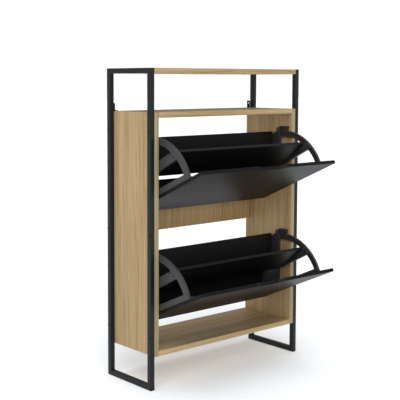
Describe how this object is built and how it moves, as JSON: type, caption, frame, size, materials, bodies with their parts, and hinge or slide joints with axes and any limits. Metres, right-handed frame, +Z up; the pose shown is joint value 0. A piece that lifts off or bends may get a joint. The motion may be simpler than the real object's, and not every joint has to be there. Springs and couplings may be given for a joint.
{
  "type": "shoe cabinet",
  "caption": "Tall narrow shoe cabinet: steel side frames, wood-effect carcass with open back, tilting flaps that swing out on guided side brackets, and an open shelf on top.",
  "frame": {"origin": "on the floor under the middle of the whole box, with both flaps open as stored", "axes": "+Z up, -Y to the front (the side the flaps open to), +X to the right seen from the front"},
  "size_m": [0.726, 0.4521, 1.08],
  "materials": {
    "oak_decor": "satin wood-effect melamine with light oak grain",
    "black_board": "matt black melamine",
    "black_steel": "fine-textured black powder coat",
    "bracket_plastic": "matt dark grey moulded plastic",
    "block_plastic": "matt black moulded plastic",
    "black_fixings": "black oxide",
    "zinc_fixings": "zinc plated",
    "dowel_wood": "plain beech"
  },
  "bodies": {
    "cabinet": {"frame_front_post_left": "black_steel", "frame_back_post_left": "black_steel", "frame_top_rail_left": "black_steel", "frame_bottom_rail_left": "black_steel", "frame_bolts_left": "black_fixings", "side_panel_left": "oak_decor", "wall_bracket_left": "black_steel", "frame_front_post_right": "black_steel", "frame_back_post_right": "black_steel", "frame_top_rail_right": "black_steel", "frame_bottom_rail_right": "black_steel", "frame_bolts_right": "black_fixings", "side_panel_right": "oak_decor", "wall_bracket_right": "black_steel", "bolt_sleeves": "zinc_fixings", "top_shelf": "oak_decor", "shelf_pins": "black_steel", "carcass_top": "oak_decor", "carcass_bottom": "oak_decor", "back_rail": "oak_decor", "cam_locks": "zinc_fixings", "cam_studs": "zinc_fixings", "dowels": "dowel_wood", "wall_bracket_screws": "black_fixings", "stop_block_screws": "black_fixings", "upper_stop_block_left": "block_plastic", "upper_pivot_pin_left": "block_plastic", "upper_stop_block_right": "block_plastic", "upper_pivot_pin_right": "block_plastic", "lower_stop_block_left": "block_plastic", "lower_pivot_pin_left": "block_plastic", "lower_stop_block_right": "block_plastic", "lower_pivot_pin_right": "block_plastic"},
    "upper_flap": {"upper_front_panel": "black_board", "upper_divider": "black_board", "upper_rear_floor": "black_board", "upper_front_floor": "black_board", "upper_bracket_left": "bracket_plastic", "upper_bracket_right": "bracket_plastic", "upper_flap_screws": "black_fixings"},
    "lower_flap": {"lower_front_panel": "black_board", "lower_divider": "black_board", "lower_rear_floor": "black_board", "lower_front_floor": "black_board", "lower_bracket_left": "bracket_plastic", "lower_bracket_right": "bracket_plastic", "lower_flap_screws": "black_fixings"}
  },
  "joints": [
    {"name": "upper_flap_hinge", "type": "hinge", "parent": "cabinet", "child": "upper_flap", "pos_m": [0, 0.01218, 0.661], "axis": [-1, 0, 0], "range_deg": [0, 65.5]},
    {"name": "lower_flap_hinge", "type": "hinge", "parent": "cabinet", "child": "lower_flap", "pos_m": [0, 0.01218, 0.269], "axis": [-1, 0, 0], "range_deg": [0, 65.5]}
  ]
}
